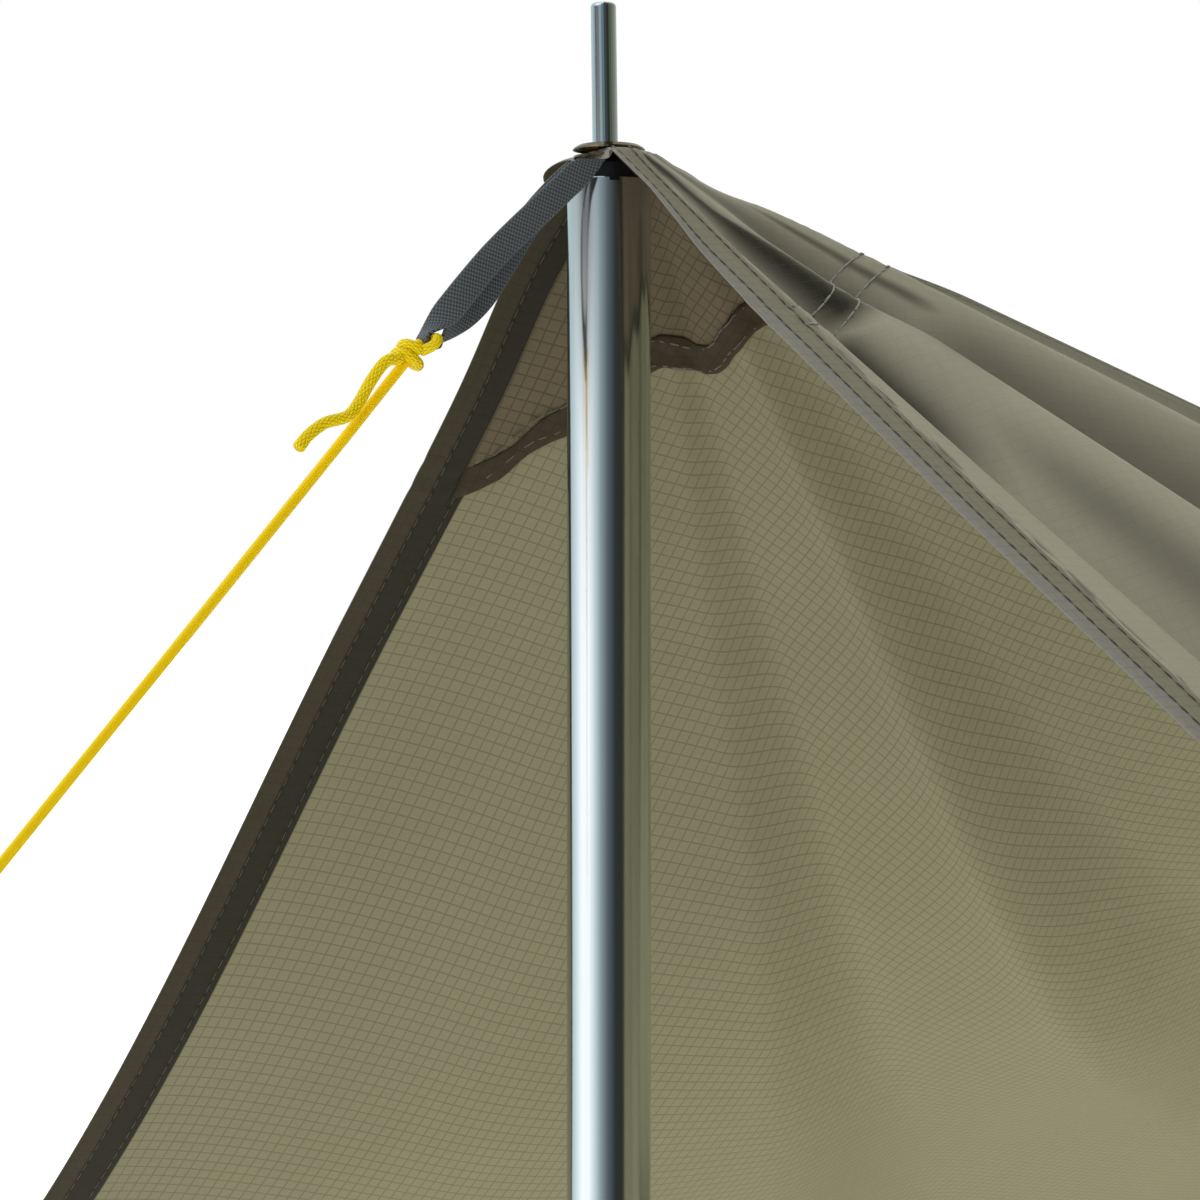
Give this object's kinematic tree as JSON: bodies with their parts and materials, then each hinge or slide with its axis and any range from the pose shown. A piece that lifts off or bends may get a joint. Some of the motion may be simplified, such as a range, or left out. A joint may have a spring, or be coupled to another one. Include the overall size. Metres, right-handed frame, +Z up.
{
  "type": "camping tarp",
  "caption": "Square ripstop tarp pitched as a half-open shelter over a telescopic spiked pole, with an eyelet, webbing peg loops and a front guyline.",
  "frame": {"origin": "centre of the pole's foot on the ground", "axes": "+Z up along the pole, +Y along the tarp's ridge from the pole to the rear peg, +X to the right seen from the open front"},
  "size_m": [3.8512, 4.2863, 1.3477],
  "materials": {
    "ripstop_cloth": "coated ripstop polyester, faint sheen",
    "hem_cloth": "folded and double-stitched cloth",
    "patch_cloth": "double-layer reinforcement cloth",
    "webbing": "fine diagonal woven webbing",
    "guyline_cord": "braided cord",
    "eyelet_metal": "rolled, bright",
    "satin_aluminium": "drawn, satin",
    "zinc_steel": "bright zinc plate",
    "black_plastic": "moulded",
    "foot_rubber": "moulded"
  },
  "bodies": {
    "pitched_tarp": {"tarp_panel_left": "ripstop_cloth", "tarp_panel_right": "ripstop_cloth", "ridge_seam": "hem_cloth", "front_hem": "hem_cloth", "side_hem_left": "hem_cloth", "side_hem_right": "hem_cloth", "rear_hem": "hem_cloth", "apex_patch": "patch_cloth", "eyelet_flange": "eyelet_metal", "eyelet_washer": "eyelet_metal", "apex_loop": "webbing", "peg_loop_front_left": "webbing", "peg_loop_front_right": "webbing", "peg_loop_rear_left": "webbing", "peg_loop_rear_middle": "webbing", "peg_loop_rear_right": "webbing", "outer_tube": "satin_aluminium", "foot_cap": "foot_rubber", "lock_collar": "black_plastic", "lock_screw": "zinc_steel", "lock_nut": "zinc_steel", "lever_pin": "zinc_steel", "guyline": "guyline_cord", "guyline_tail": "guyline_cord", "guyline_eye": "guyline_cord", "guyline_knot": "guyline_cord", "guyline_end_loop": "guyline_cord"},
    "upper_pole": {"upper_tube": "satin_aluminium", "spike": "zinc_steel", "spike_plug": "black_plastic", "guide_bush": "black_plastic"},
    "lever": {"lock_lever": "black_plastic"}
  },
  "joints": [
    {"name": "pole_slide", "type": "slide", "parent": "pitched_tarp", "child": "upper_pole", "axis": [0, 0, 1], "range_m": [-0.45, 0]},
    {"name": "lever_hinge", "type": "hinge", "parent": "pitched_tarp", "child": "lever", "pos_m": [0.023, 0.0093, 0.6888], "axis": [0, 0, -1], "range_deg": [0, 120]}
  ]
}
